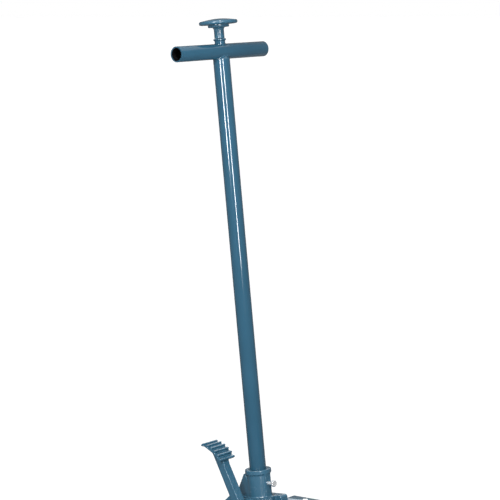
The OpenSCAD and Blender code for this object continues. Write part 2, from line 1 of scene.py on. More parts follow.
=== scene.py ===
"""Looks of the hydraulic trolley jack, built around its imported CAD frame."""

import json
import math

import bmesh
import bpy
from mathutils import Matrix, Vector
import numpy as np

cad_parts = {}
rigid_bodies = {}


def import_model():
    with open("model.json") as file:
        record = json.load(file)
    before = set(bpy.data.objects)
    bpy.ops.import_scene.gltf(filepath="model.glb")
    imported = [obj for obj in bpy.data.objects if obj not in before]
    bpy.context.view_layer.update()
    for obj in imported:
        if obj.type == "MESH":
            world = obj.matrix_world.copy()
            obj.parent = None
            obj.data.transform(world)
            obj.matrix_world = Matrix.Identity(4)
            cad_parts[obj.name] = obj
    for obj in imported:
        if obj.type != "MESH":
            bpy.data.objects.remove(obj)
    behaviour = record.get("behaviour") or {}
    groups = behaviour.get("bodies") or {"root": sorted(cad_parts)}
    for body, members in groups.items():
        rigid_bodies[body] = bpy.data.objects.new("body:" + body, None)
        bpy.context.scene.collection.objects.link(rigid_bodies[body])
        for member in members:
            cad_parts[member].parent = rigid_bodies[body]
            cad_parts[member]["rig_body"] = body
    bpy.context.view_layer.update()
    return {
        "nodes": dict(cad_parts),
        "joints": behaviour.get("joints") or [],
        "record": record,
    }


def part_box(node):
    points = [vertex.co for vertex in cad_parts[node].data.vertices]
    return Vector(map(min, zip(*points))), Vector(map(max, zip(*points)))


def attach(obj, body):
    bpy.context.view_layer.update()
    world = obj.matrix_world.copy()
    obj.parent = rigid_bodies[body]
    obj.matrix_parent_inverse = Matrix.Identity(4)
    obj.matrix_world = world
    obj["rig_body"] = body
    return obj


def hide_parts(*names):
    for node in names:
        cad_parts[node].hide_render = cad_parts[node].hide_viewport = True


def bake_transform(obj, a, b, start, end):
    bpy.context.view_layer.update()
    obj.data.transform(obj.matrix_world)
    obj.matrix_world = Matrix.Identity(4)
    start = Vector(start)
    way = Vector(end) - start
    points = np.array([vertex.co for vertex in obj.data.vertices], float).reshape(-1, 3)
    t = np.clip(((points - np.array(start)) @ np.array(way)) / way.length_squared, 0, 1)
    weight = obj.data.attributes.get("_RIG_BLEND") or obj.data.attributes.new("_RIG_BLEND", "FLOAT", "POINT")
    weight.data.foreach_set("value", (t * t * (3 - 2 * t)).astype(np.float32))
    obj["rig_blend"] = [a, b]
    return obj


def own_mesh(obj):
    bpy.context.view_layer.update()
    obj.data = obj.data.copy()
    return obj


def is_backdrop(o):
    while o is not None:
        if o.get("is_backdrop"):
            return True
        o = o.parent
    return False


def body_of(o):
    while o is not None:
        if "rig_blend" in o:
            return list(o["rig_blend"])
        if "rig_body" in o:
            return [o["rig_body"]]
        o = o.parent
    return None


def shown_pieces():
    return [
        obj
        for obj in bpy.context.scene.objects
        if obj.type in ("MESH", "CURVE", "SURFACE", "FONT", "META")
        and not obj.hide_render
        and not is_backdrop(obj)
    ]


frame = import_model()
MM = 0.001
NODE_BODY = {n: b for b, ns in frame["record"]["behaviour"]["bodies"].items() for n in ns}
NODE_SLOT = {s["node"]: s["material_slot"] for s in frame["record"]["subparts"]}
JOINTS = {j["name"]: j for j in frame["joints"]}


# ---------------------------------------------------------------- places from the frame

def joint_point(name):
    """Where a joint's axis passes, in the row frame."""
    return Vector(JOINTS[name]["pos_m"])


AXLE = joint_point("handle_pump")
HANDLE_UP = Vector(JOINTS["handle_pull_out"]["axis"])
HANDLE_FRONT = Vector((HANDLE_UP.z, 0, -HANDLE_UP.x))
LEFT = Vector((0, 1, 0))
UP = Vector((0, 0, 1))
FORWARD = Vector((1, 0, 0))
PIVOT = joint_point("lift")
HEAD = joint_point("saddle_level")
FRONT_AXLE = joint_point("front_wheel_left_spin").copy()
FRONT_AXLE.y = 0


def on_handle(s, x=0.0, y=0.0):
    """A point s up the leaning handle from its axle, x to its front and y to its left, in mm."""
    return AXLE + HANDLE_UP * (s * MM) + HANDLE_FRONT * (x * MM) + LEFT * (y * MM)


# ---------------------------------------------------------------- camera

AIM = Vector((-0.315, 0.045, 0.674))
CAMERA_AZIMUTH = 41.13
CAMERA_ELEVATION = 9.31
CAMERA_DISTANCE = 4.0
CAMERA_LENS = 136.6


def add_camera():
    """The photo's view, looking down on the handle from its front right."""
    data = bpy.data.cameras.new("camera")
    data.lens = CAMERA_LENS
    data.sensor_width = 36
    data.clip_end = 200
    cam = bpy.data.objects.new("camera", data)
    bpy.context.scene.collection.objects.link(cam)
    a = math.radians(CAMERA_AZIMUTH)
    e = math.radians(CAMERA_ELEVATION)
    back = Vector((math.sin(a) * math.cos(e), -math.cos(a) * math.cos(e), math.sin(e)))
    cam.location = AIM + back * CAMERA_DISTANCE
    cam.rotation_euler = (math.pi / 2 - e, 0, a)
    bpy.context.scene.camera = cam


# ---------------------------------------------------------------- materials

class Nodes:
    """A material's node tree, with short calls for the nodes the finishes share."""

    def __init__(self, name):
        self.material = bpy.data.materials.new(name)
        self.material.use_nodes = True
        self.tree = self.material.node_tree
        self.tree.nodes.clear()
        self.out = self.tree.nodes.new("ShaderNodeOutputMaterial")
        self.shader = self.tree.nodes.new("ShaderNodeBsdfPrincipled")
        self.link(self.shader.outputs[0], self.out.inputs[0])
        self.coords = self.tree.nodes.new("ShaderNodeTexCoord").outputs["Object"]

    def link(self, a, b):
        self.tree.links.new(a, b)

    def set(self, **values):
        for name, value in values.items():
            self.shader.inputs[name.replace("_", " ")].default_value = value

    def noise(self, scale, detail=3.0, roughness=0.5, stretch=None):
        node = self.tree.nodes.new("ShaderNodeTexNoise")
        node.inputs["Scale"].default_value = scale
        node.inputs["Detail"].default_value = detail
        node.inputs["Roughness"].default_value = roughness
        source = self.coords
        if stretch:
            mapping = self.tree.nodes.new("ShaderNodeMapping")
            mapping.inputs["Scale"].default_value = stretch
            self.link(self.coords, mapping.inputs["Vector"])
            source = mapping.outputs[0]
        self.link(source, node.inputs["Vector"])
        return node.outputs["Fac"]

    def ramp(self, value, low, high, out_low=0.0, out_high=1.0):
        node = self.tree.nodes.new("ShaderNodeMapRange")
        ends = {"From Min": low, "From Max": high, "To Min": out_low, "To Max": out_high}
        for name, number in ends.items():
            node.inputs[name].default_value = number
        self.link(value, node.inputs["Value"])
        return node.outputs[0]

    def mix(self, factor, a, b):
        node = self.tree.nodes.new("ShaderNodeMix")
        node.data_type = "RGBA"
        self.link(factor, node.inputs[0])
        for socket, v in ((node.inputs[6], a), (node.inputs[7], b)):
            if isinstance(v, tuple):
                socket.default_value = (*v, 1.0)
            else:
                self.link(v, socket)
        return node.outputs[2]

    def bump(self, height, distance, strength, below=None):
        node = self.tree.nodes.new("ShaderNodeBump")
        node.inputs["Strength"].default_value = strength
        node.inputs["Distance"].default_value = distance
        self.link(height, node.inputs["Height"])
        if below:
            self.link(below, node.inputs["Normal"])
        return node.outputs[0]


def paint_material(name, colour, cast):
    """Slate blue enamel: orange peel on sheet and tube, a sand-cast grain under it on castings."""
    n = Nodes(name)
    n.set(IOR=1.5)
    deep = tuple(c * 0.95 for c in colour)
    pale = tuple(c * 1.05 + 0.001 for c in colour)
    cloud = n.ramp(n.noise(9, 4), 0.35, 0.65)
    tone = n.mix(cloud, deep, pale)
    n.link(tone, n.shader.inputs["Base Color"])
    smoothest, roughest = (0.2, 0.3) if cast else (0.09, 0.14)
    rough = n.ramp(n.noise(60, 5, 0.6), 0.3, 0.7, smoothest, roughest)
    n.link(rough, n.shader.inputs["Roughness"])
    peel = n.bump(n.noise(260, 2), 0.0003, 0.12)
    if cast:
        grain = n.bump(n.noise(520, 5, 0.65), 0.0007, 0.35, peel)
        peel = n.bump(n.noise(70, 3), 0.0016, 0.25, grain)
    n.link(peel, n.shader.inputs["Normal"])
    return n.material


def metal_material(name, colour, rough, spread, grain, grain_scale,
                   stretch=None, stain=None, bright=1.0):
    """Bare or plated metal with a tool or plating grain."""
    n = Nodes(name)
    n.set(Metallic=bright)
    tone = n.mix(n.ramp(n.noise(14, 4), 0.35, 0.65), tuple(c * 0.85 for c in colour), colour)
    if stain:
        tone = n.mix(n.ramp(n.noise(38, 5, 0.65), 0.52, 0.72, 0.0, 0.55), tone, stain)
    n.link(tone, n.shader.inputs["Base Color"])
    n.link(n.ramp(n.noise(90, 4, 0.6, stretch), 0.3, 0.7, rough - spread, rough + spread),
           n.shader.inputs["Roughness"])
    n.link(n.bump(n.noise(grain_scale, 3, 0.6, stretch), 0.0004, grain), n.shader.inputs["Normal"])
    return n.material


def soft_material(name, colour, rough, grain, grain_scale, dust):
    """Rubber or nylon with a matt moulded skin and a little dust."""
    n = Nodes(name)
    dusty = tuple(min(1.0, c + dust) for c in colour)
    n.link(n.mix(n.ramp(n.noise(35, 6, 0.65), 0.45, 0.75), colour, dusty), n.shader.inputs["Base Color"])
    n.link(n.ramp(n.noise(120, 4), 0.3, 0.7, rough - 0.08, rough + 0.1), n.shader.inputs["Roughness"])
    n.link(n.bump(n.noise(grain_scale, 4, 0.6), 0.0005, grain), n.shader.inputs["Normal"])
    return n.material


BLUE = (0.0128, 0.0492, 0.0815)
CAST_BLUE = (0.0175, 0.061, 0.098)
MATERIALS = {
    "blue_paint": paint_material("blue_paint", BLUE, False),
    "blue_cast_paint": paint_material("blue_cast_paint", CAST_BLUE, True),
    "zinc_steel": metal_material("zinc_steel", (0.62, 0.63, 0.63), 0.34, 0.08, 0.25, 900,
                                 stain=(0.52, 0.51, 0.46), bright=0.85),
    "ground_steel": metal_material("ground_steel", (0.58, 0.58, 0.59), 0.28, 0.07, 0.35, 500,
                                   stretch=(1, 14, 1), bright=0.88),
    "chrome": metal_material("chrome", (0.92, 0.93, 0.94), 0.2, 0.04, 0.06, 700, bright=0.82),
    "black_steel": metal_material("black_steel", (0.045, 0.045, 0.05), 0.4, 0.08, 0.3, 700),
    "cast_iron": metal_material("cast_iron", (0.1, 0.1, 0.105), 0.5, 0.1, 0.6, 420,
                                stain=(0.09, 0.06, 0.045), bright=0.6),
    "rubber": soft_material("rubber", (0.016, 0.016, 0.017), 0.68, 0.35, 900, 0.03),
    "nylon": soft_material("nylon", (0.022, 0.022, 0.024), 0.42, 0.25, 500, 0.02),
}


# ---------------------------------------------------------------- mesh tools

def new_piece(name, mesh, body, slot, replaces=(), smooth_angle=35):
    """Links a mesh as a visible piece, rides it on its body and gives it its finish."""
    piece = bare_piece(name, mesh, slot, smooth_angle)
    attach(piece, body)
    if replaces:
        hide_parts(*replaces)


def bare_piece(name, mesh, slot, smooth_angle):
    """Links a mesh with its finish, and leaves how it rides to the caller."""
    mesh.validate()
    piece = bpy.data.objects.new(name, mesh)
    bpy.context.scene.collection.objects.link(piece)
    mesh.materials.clear()
    mesh.materials.append(MATERIALS[slot])
    mesh.set_sharp_from_angle(angle=math.radians(smooth_angle))
    return piece


def mesh_from_bmesh(bm, name):
    """A smooth-shaded mesh with its faces turned outwards. It frees bm."""
    bmesh.ops.recalc_face_normals(bm, faces=bm.faces)
    for face in bm.faces:
        face.smooth = True
    mesh = bpy.data.meshes.new(name)
    bm.to_mesh(mesh)
    bm.free()
    return mesh


SAME_POINT = 2e-6
FLAT = math.radians(0.4)


def node_bmesh(node):
    """The CAD node's mesh, welded, with its flat faces made whole again."""
    bm = bmesh.new()
    bm.from_mesh(frame["nodes"][node].data)
    bmesh.ops.remove_doubles(bm, verts=bm.verts, dist=SAME_POINT)
    bmesh.ops.dissolve_limit(bm, angle_limit=FLAT, use_dissolve_boundaries=False,
                             verts=bm.verts, edges=bm.edges)
    return bm


def round_edges(bm, edges, width, segments):
    """Rounds edges to a width in mm."""
    bmesh.ops.bevel(bm, geom=edges, offset=width * MM, offset_type="OFFSET", segments=segments,
                    profile=0.5, affect="EDGES", clamp_overlap=True, loop_slide=True)


def sharp_edges(bm, angle=28):
    """Edges whose two faces turn through more than an angle in degrees."""
    return [e for e in bm.edges if len(e.link_faces) == 2 and e.calc_face_angle(0) > math.radians(angle)]


def rounded_node(node, width=0.7, segments=2, bend=None, bend_width=3.0):
    """A piece with the CAD node's shape and its sharp edges rounded, in place of that node.
    Edges that bend() picks get the larger radius of a folded or pressed sheet."""
    bm = node_bmesh(node)
    if bend:
        bends = [e for e in sharp_edges(bm) if bend(e.verts[0].co, e.verts[1].co)]
        round_edges(bm, bends, bend_width, 4)
    round_edges(bm, sharp_edges(bm), width, segments)
    bmesh.ops.dissolve_degenerate(bm, dist=1e-6, edges=bm.edges)
    mesh = mesh_from_bmesh(bm, node + "_skin")
    new_piece(node + "_skin", mesh, NODE_BODY[node], NODE_SLOT[node], [node])


def place_at(origin, axis, front):
    """A matrix at a point, with Z along the axis and X towards the front; its unit is the millimetre."""
    z = Vector(axis).normalized()
    x = (Vector(front) - z * Vector(front).dot(z)).normalized()
    y = z.cross(x)
    turn = Matrix((x, y, z)).transposed().to_4x4()
    return Matrix.Translation(origin) @ turn @ Matrix.Scale(MM, 4)


def across(point):
    """A place whose Z runs across the jack, for bores and pins."""
    return place_at(point, LEFT, FORWARD)


def full_turn(steps=96):
    """Angles once round a circle, the last one back at the first."""
    return [2 * math.pi * i / steps for i in range(steps + 1)]


def add_lathe(bm, place, outline, segments=64, wave=None):
    """Turns a closed outline of (radius, height) about the place's Z axis.
    wave(angle, radius, height) may change the radius on the way round."""
    rings = []
    for radius, height in outline:
        if radius < 1e-6:
            rings.append([bm.verts.new(place @ Vector((0, 0, height)))] * segments)
            continue
        ring = []
        for i in range(segments):
            angle = 2 * math.pi * i / segments
            r = wave(angle, radius, height) if wave else radius
            point = Vector((r * math.cos(angle), r * math.sin(angle), height))
            ring.append(bm.verts.new(place @ point))
        rings.append(ring)
    for ring, following in zip(rings, rings[1:] + rings[:1]):
        for i in range(segments):
            j = (i + 1) % segments
            corners = []
            for v in (ring[i], ring[j], following[j], following[i]):
                if v not in corners:
                    corners.append(v)
            if len(corners) > 2:
                bm.faces.new(corners)


def softened(outline, radius):
    """The outline with its corners off the axis rounded."""
    out = []
    steps = 3
    count = len(outline)
    for i, point in enumerate(outline):
        p = Vector(point)
        a = Vector(outline[i - 1])
        b = Vector(outline[(i + 1) % count])
        if p.x < 1e-6:
            out.append(tuple(p))
            continue
        cut = min(radius, (a - p).length * 0.45, (b - p).length * 0.45)
        start = p + (a - p).normalized() * cut
        end = p + (b - p).normalized() * cut
        for k in range(steps + 1):
            t = k / steps
            out.append(tuple(start * (1 - t) ** 2 + p * (2 * t * (1 - t)) + end * t * t))
    return out


def add_prism(bm, place, outline, low, high):
    """A flat outline in the place's XY, drawn out along its Z."""
    bottom = [bm.verts.new(place @ Vector((x, y, low))) for x, y in outline]
    top = [bm.verts.new(place @ Vector((x, y, high))) for x, y in outline]
    bm.faces.new(bottom[::-1])
    bm.faces.new(top)
    for i in range(len(outline)):
        j = (i + 1) % len(outline)
        bm.faces.new((bottom[i], bottom[j], top[j], top[i]))


def add_hexagon(bm, place, low, high, flats, bore=0.0):
    """A nut or bolt head with its top corners turned off, and a bore if it has one."""
    half = flats / 2
    crown = half * 0.95
    chamfer = math.radians(32)

    def wall(angle, radius, height):
        hexed = half / math.cos(math.radians(math.degrees(angle) % 60 - 30))
        return min(radius, hexed)

    tall = half / math.cos(math.radians(30))
    drop = (tall - crown) * math.tan(chamfer)
    outline = [(bore, low), (tall - 0.3, low), (tall, low + 0.2), (tall, high - drop)]
    outline += [(crown + (tall - crown) * k / 4, high - drop * k / 4) for k in (3, 2, 1)]
    outline += [(crown, high), (bore, high)]
    add_lathe(bm, place, outline, 48, wall)


def add_tube_along(bm, points, radii, sides=10):
    """A closed round bar along a line of points in the row frame, its radius in mm at each."""
    rings = []
    side = None
    for i, p in enumerate(points):
        ahead = points[min(i + 1, len(points) - 1)] - points[max(i - 1, 0)]
        along = ahead.normalized()
        if side is None:
            side = along.orthogonal().normalized()
        side = (side - along * side.dot(along)).normalized()
        other = along.cross(side)
        ring = []
        for k in range(sides):
            a = 2 * math.pi * k / sides
            spoke = side * math.cos(a) + other * math.sin(a)
            ring.append(bm.verts.new(p + spoke * (radii[i] * MM)))
        rings.append(ring)
    for ring, following in zip(rings, rings[1:]):
        for k in range(sides):
            j = (k + 1) % sides
            bm.faces.new((ring[k], ring[j], following[j], following[k]))
    bm.faces.new(rings[0][::-1])
    bm.faces.new(rings[-1])


def coil_points(place, radius, low, high, turns, start=0.0, closed_ends=True):
    """Points of a coil spring about the place's Z axis, its end turns lying closer together."""
    points = []
    steps_per_turn = 22
    closing = 0.165 if closed_ends else 0.0
    count = int(turns * steps_per_turn)
    for i in range(count + 1):
        t = i / count
        rise = t - closing * math.sin(2 * math.pi * t) / (2 * math.pi)
        angle = start + 2 * math.pi * turns * t
        height = low + (high - low) * min(1.0, max(0.0, rise))
        points.append(place @ Vector((radius * math.cos(angle), radius * math.sin(angle), height)))
    return points


def add_weld(bm, points, radius):
    """A weld bead along a line of points, with the ripple of its laying."""
    dense = []
    step = 0.6 * MM
    for a, b in zip(points, points[1:]):
        steps = max(1, int((b - a).length / step))
        dense += [a.lerp(b, k / steps) for k in range(steps)]
    dense.append(points[-1])
    radii = []
    travelled = 0.0
    for i, p in enumerate(dense):
        if i:
            travelled += (p - dense[i - 1]).length / MM
        ends = min(1.0, 0.45 + min(i, len(dense) - 1 - i) * 0.14)
        ripple = 0.09 * math.sin(travelled * 2.1) + 0.05 * math.sin(travelled * 0.53)
        radii.append(radius * ends * (1 + ripple))
    add_tube_along(bm, dense, radii)


def cast_mesh(bm, name, grain, passes, cutters):
    """One skin round the shapes in bm, its corners filled and rounded as a casting's are, then bored."""
    source = bpy.data.objects.new(name + "_source", mesh_from_bmesh(bm, name + "_source"))
    bpy.context.scene.collection.objects.link(source)
    remesh = source.modifiers.new("skin", "REMESH")
    remesh.mode = "VOXEL"
    remesh.voxel_size = grain * MM
    smooth = source.modifiers.new("soften", "SMOOTH")
    smooth.factor = 0.5
    smooth.iterations = passes
    tool = bmesh.new()
    for place, radius, low, high in cutters:
        add_lathe(tool, place, [(0, low), (radius, low), (radius, high), (0, high)], 72)
    drill = bpy.data.objects.new(name + "_drill", mesh_from_bmesh(tool, name + "_drill"))
    bpy.context.scene.collection.objects.link(drill)
    bore = source.modifiers.new("bore", "BOOLEAN")
    bore.operation = "DIFFERENCE"
    bore.object = drill
    bore.solver = "MANIFOLD"
    ready = source.evaluated_get(bpy.context.evaluated_depsgraph_get())
    mesh = bpy.data.meshes.new_from_object(ready)
    mesh.name = name
    for helper in (source, drill):
        bpy.data.objects.remove(helper)
    for polygon in mesh.polygons:
        polygon.use_smooth = True
    return mesh


# ---------------------------------------------------------------- knob, T-bar and handle

# Sizes in mm; an S is a station up the handle from its axle
KNOB_R = 40
BAR_S = 978
BAR_R = 16
BAR_HALF = 133.5
BAR_BORE_R = 13.5
TUBE_R = 17.5
ROD_R = 5
BUSH_R = 11
STEM_S = BAR_S + 27
RIM_S = BAR_S + 56
# The tube's neck: its top radius, and how far below the bar's axis it ends
NECK_R = 13
NECK_END = 9


def handle_place():
    """The handle's own place: Z up the tube from its axle, X to its front."""
    return place_at(on_handle(0), HANDLE_UP, HANDLE_FRONT)


def build_knob():
    """Domed knob with a rolled rim, a shoulder under it and a stem that sits on the rod."""
    outline = [(0, STEM_S + 23), (ROD_R + 0.2, STEM_S + 23), (ROD_R + 0.2, STEM_S)]
    outline += [(10.5, STEM_S), (10.5, STEM_S + 18), (11.2, STEM_S + 20.5), (13, STEM_S + 22.4),
                (16, STEM_S + 23), (21.3, STEM_S + 23), (22, STEM_S + 23.8), (22, RIM_S - 0.8)]
    outline += [(KNOB_R - 2.5, RIM_S), (KNOB_R - 0.8, RIM_S + 0.7), (KNOB_R, RIM_S + 2.4),
                (KNOB_R, RIM_S + 5.2), (KNOB_R - 0.8, RIM_S + 6.8), (KNOB_R - 2.6, RIM_S + 7.6)]
    for k in range(1, 9):
        t = k / 9
        outline.append(((KNOB_R - 4) * (1 - t), RIM_S + 7.8 + 4.1 * math.sin(t * math.pi / 2)))
    outline.append((0, RIM_S + 11.95))
    bm = bmesh.new()
    add_lathe(bm, handle_place(), outline, 96)
    new_piece("knob", mesh_from_bmesh(bm, "knob"), NODE_BODY["release_knob"], NODE_SLOT["release_knob"],
              ["release_knob"], 50)


def build_bush():
    """The neck above the T-bar with its turned ring."""
    bm = bmesh.new()
    neck = softened([(ROD_R + 1, BAR_S + 12), (BUSH_R, BAR_S + 12), (BUSH_R, BAR_S + 22.4),
                     (13, BAR_S + 22.6), (13, BAR_S + 26.4), (ROD_R + 1, BAR_S + 26.4)], 0.9)
    add_lathe(bm, handle_place(), neck, 64)
    new_piece("bush", mesh_from_bmesh(bm, "bush"), NODE_BODY["knob_bush"], NODE_SLOT["knob_bush"],
              ["knob_bush"], 50)


def neck_meets_bar(angle):
    """Depth below the T-bar's axis, and neck radius, where the tube's neck runs into the bar."""
    low, high = NECK_END, BAR_R
    for _ in range(24):
        depth = (low + high) / 2
        radius = NECK_R + (TUBE_R - NECK_R) * (depth - NECK_END) / (BAR_R - NECK_END)
        if (radius * math.cos(angle)) ** 2 + depth ** 2 < BAR_R ** 2:
            low = depth
        else:
            high = depth
    return depth, radius


def build_handle_welds():
    """Beads where the tube meets the T-bar from below and the bush meets it from above."""
    bm = bmesh.new()
    under = []
    over = []
    bush_ring = BUSH_R + 0.4
    for a in full_turn():
        depth, radius = neck_meets_bar(a)
        under.append(on_handle(BAR_S - depth, radius * math.cos(a), radius * math.sin(a)))
        x = bush_ring * math.cos(a)
        over.append(on_handle(BAR_S + math.sqrt(BAR_R ** 2 - x * x), x, bush_ring * math.sin(a)))
    add_weld(bm, under, 2.2)
    add_weld(bm, over, 1.5)
    new_piece("handle_welds", mesh_from_bmesh(bm, "handle_welds"), "handle", "blue_paint", (), 60)


def build_bar_shade_lining():
    """A black steel lining in the T-bar's bore, either side of the release rod: painted shade that darkens
    the inside of the hollow bar.
    """
    bm = bmesh.new()
    place = across(on_handle(BAR_S))
    outside = BAR_BORE_R - 0.03
    inside = BAR_BORE_R - 0.6
    for side in (-1, 1):
        low, high = sorted((side * 9, side * (BAR_HALF - 0.3)))
        add_lathe(bm, place, [(inside, low), (outside, low), (outside, high), (inside, high)], 64)
    # Painted shade: a dark sheet where the bar's bore lies in shade
    new_piece("bar_shade_lining", mesh_from_bmesh(bm, "bar_shade_lining"), "handle", "black_steel", (), 50)


# ---------------------------------------------------------------- socket and pedal castings

SCREW_S = 70.7
LEVER_X, LEVER_S = 30, 18.5
# In degrees: how far the handle leans back, and the pump roller's pin back from straight below the axle
LEAN = 6.7
PUMP_BACK = 27.5
PUMP_R = 28
PEDAL_LEAN = math.radians(30.4)
TOE_TURN = math.radians(-110)
PEDAL_Y = -56
AXLE_BORE_R = 10.1
# The radius rods' pins: how far behind and above the lift arm's own
ROD_BACK, ROD_RISE = 18, 28


def build_socket():
    """The handle socket with its cast corners, bored for the tube, rod, axle, pins and screw."""
    bm = node_bmesh("handle_socket")
    pump_turn = math.radians(90 + PUMP_BACK + LEAN)
    roller = on_handle(-PUMP_R * math.sin(pump_turn), PUMP_R * math.cos(pump_turn))
    cutters = [
        (handle_place(), TUBE_R + 0.15, 37, 130),
        (handle_place(), ROD_R + 2, -60, 60),
        (across(AXLE), AXLE_BORE_R, -60, 60),
        (across(on_handle(LEVER_S, LEVER_X)), 4.05, -60, 60),
        (across(roller), 5.05, -60, 60),
        (place_at(on_handle(SCREW_S), HANDLE_FRONT, LEFT), 4.1, 5, 60),
    ]
    mesh = cast_mesh(bm, "socket_casting", 1.1, 3, cutters)
    new_piece("socket_casting", mesh, NODE_BODY["handle_socket"], NODE_SLOT["handle_socket"],
              ["handle_socket"], 55)


def pedal_place(turn=PEDAL_LEAN):
    """A place at the pedal's hub: Z across the jack, and X turned up by an angle from forwards.
    At the pedal's own lean its Y runs along the pedal's arm."""
    up = Vector((-math.sin(turn), 0, math.cos(turn)))
    front = Vector((math.cos(turn), 0, math.sin(turn)))
    middle = AXLE + LEFT * (PEDAL_Y * MM)
    facing = Matrix((front, up, front.cross(up))).transposed().to_4x4()
    return Matrix.Translation(middle) @ facing @ Matrix.Scale(MM, 4)


TREAD_CENTRE = Vector((-43, 125))
TREAD_R = 66
RIB_ANGLES = [9 + 9.8 * i for i in range(6)]
TREAD_HALF = 22.8


def tread_point(radius, angle):
    """A point on the tread's curve, in the pedal's own place."""
    a = math.radians(angle)
    return (TREAD_CENTRE.x + radius * math.cos(a), TREAD_CENTRE.y + radius * math.sin(a))


def build_pedal():
    """Arm, ribbed tread, rear lug and the toe that works the quick pump, cast in one."""
    bm = bmesh.new()
    place = pedal_place()
    hub_r = 14.3
    hub = [(hub_r * math.cos(a), hub_r * math.sin(a)) for a in full_turn(48)[:-1]]
    add_prism(bm, place, hub, -10, 10)
    add_prism(bm, place, [(-4.8, 0), (14.4, 0), (14.4, 146), (8, 153), (-3, 163)], -9.4, 9.4)
    add_prism(bm, place, [(-27.5, 44.5), (-2, 36.5), (-2, 61.5), (-24.6, 56.6)], -7.8, 7.8)
    plate = [tread_point(TREAD_R - 2.2, a) for a in range(6, 61, 3)]
    plate += [tread_point(TREAD_R - 5.8 + 3.6 * max(0, a - 42) / 18, a) for a in range(60, 5, -3)]
    add_prism(bm, place, plate, -TREAD_HALF, TREAD_HALF)
    for angle in RIB_ANGLES:
        rib = [tread_point(TREAD_R - 4, angle - 2.9), tread_point(TREAD_R + 1.4, angle - 3.0),
               tread_point(TREAD_R + 2.2, angle - 1.8), tread_point(TREAD_R + 2.0, angle),
               tread_point(TREAD_R - 1.6, angle + 3.6), tread_point(TREAD_R - 4, angle + 3.8)]
        add_prism(bm, place, rib, -TREAD_HALF, TREAD_HALF)
    gusset = [tread_point(TREAD_R - 4.5, 9), (14.4, 118), (6, 128), tread_point(TREAD_R - 4.5, 24)]
    add_prism(bm, place, gusset, -8.6, 8.6)
    tip_r = 8.8
    toe = []
    for degrees in range(-90, 91, 12):
        a = math.radians(degrees)
        toe.append((26 + tip_r * math.cos(a), tip_r * math.sin(a)))
    toe += [(24, tip_r), (18, 4.8), (0, 4.8), (0, -4.8), (18, -4.8), (24, -tip_r)]
    add_prism(bm, pedal_place(TOE_TURN), toe, -7.8, 7.8)
    bore = across(AXLE + LEFT * (PEDAL_Y * MM))
    mesh = cast_mesh(bm, "pedal_casting", 0.85, 2, [(bore, AXLE_BORE_R, -40, 40)])
    new_piece("pedal_casting", mesh, NODE_BODY["foot_pedal"], NODE_SLOT["foot_pedal"],
              ["foot_pedal"], 55)


def build_carrier():
    """The saddle carrier, bored for the head pin, the radius rods' pin and the saddle's spigot."""
    bm = node_bmesh("saddle_carrier")
    top = place_at(HEAD, UP, FORWARD)
    rod = across(HEAD + FORWARD * (-ROD_BACK * MM) + UP * (ROD_RISE * MM))
    mesh = cast_mesh(bm, "carrier_casting", 1.4, 5, [
        (across(HEAD), AXLE_BORE_R, -60, 60), (rod, 6.05, -60, 60), (top, 11.1, 12.5, 70)])
    new_piece("carrier_casting", mesh, NODE_BODY["saddle_carrier"], NODE_SLOT["saddle_carrier"],
              ["saddle_carrier"], 55)


def build_thumb_screw():
    """A plain shank and a knurled head with a turned face."""
    bm = bmesh.new()
    place = place_at(on_handle(SCREW_S), HANDLE_FRONT, LEFT)
    add_lathe(bm, place, softened([(0, 17.9), (4, 17.9), (4, 39.2), (0, 39.2)], 0.4), 40)

    def knurl(angle, radius, height):
        if radius < 7:
            return radius
        return radius - 0.42 * (0.5 - 0.5 * math.cos(angle * 30))

    head = [(0, 38.9), (5.6, 38.9), (6.6, 39.2), (7.4, 39.8), (7.4, 42.7), (6.6, 43.3),
            (5.4, 43.55), (4.6, 43.2), (0, 43.1)]
    add_lathe(bm, place, head, 240, knurl)
    new_piece("thumb_screw_skin", mesh_from_bmesh(bm, "thumb_screw_skin"), NODE_BODY["thumb_screw"],
              NODE_SLOT["thumb_screw"], ["thumb_screw"], 40)


# ---------------------------------------------------------------- fastenings

# Places in mm: an X is ahead of the handle's axle, and a Z is above the floor
PLATE_IN, PLATE_OUT = 72, 77
BLOCK_X0, BLOCK_X1 = 58, 110
BLOCK_TOP = 141
BLOCK_BOLT_Z = (60, 122)
COVER_BEND_X, COVER_BEND_Z = 23, 150.3
CASTER_X, CASTER_Y = 15, 140
CASTER_TOP, WING_Z = 92, 98
RAM_Z = 71
TANK_R = 42
SPRING_Y = 58
WASHER_H = 1.5
AXLE_Z = AXLE.z / MM
PUMP_Z = AXLE_Z - 27
QUICK_Z = AXLE_Z - 25
VALVE_Z = AXLE_Z + 6


def from_axle(x, y, z_up):
    """A point x ahead of the handle's axle and y to the left, at a height above the floor, in mm."""
    return Vector((AXLE.x + x * MM, y * MM, z_up * MM))


def ahead_and_up(point):
    """How far a point is ahead of the handle's axle and above the floor, in mm."""
    return (point.x - AXLE.x) / MM, point.z / MM


def outward(x, z_up, side):
    """A place on the jack's middle plane whose Z points out to one side."""
    return place_at(from_axle(x, 0, z_up), LEFT * side, FORWARD)


def build_block_bolts():
    """Hexagon bolts with washers, through the side plates into the block."""
    bm = bmesh.new()
    shank = [(0, 48), (5.9, 48), (5.9, PLATE_OUT), (0, PLATE_OUT)]
    washer_out = PLATE_OUT + WASHER_H
    washer = [(0, PLATE_OUT), (12, PLATE_OUT), (12, washer_out), (0, washer_out)]
    for x in (BLOCK_X0 + 13, BLOCK_X1 - 13):
        for z in BLOCK_BOLT_Z:
            for side in (-1, 1):
                place = outward(x, z, side)
                add_lathe(bm, place, softened(shank, 0.5), 32)
                add_lathe(bm, place, softened(washer, 0.4), 48)
                add_hexagon(bm, place, washer_out, washer_out + 7, 17.3)
    new_piece("block_bolts", mesh_from_bmesh(bm, "block_bolts"), "chassis", "zinc_steel",
              ["power_unit_bolts"], 25)


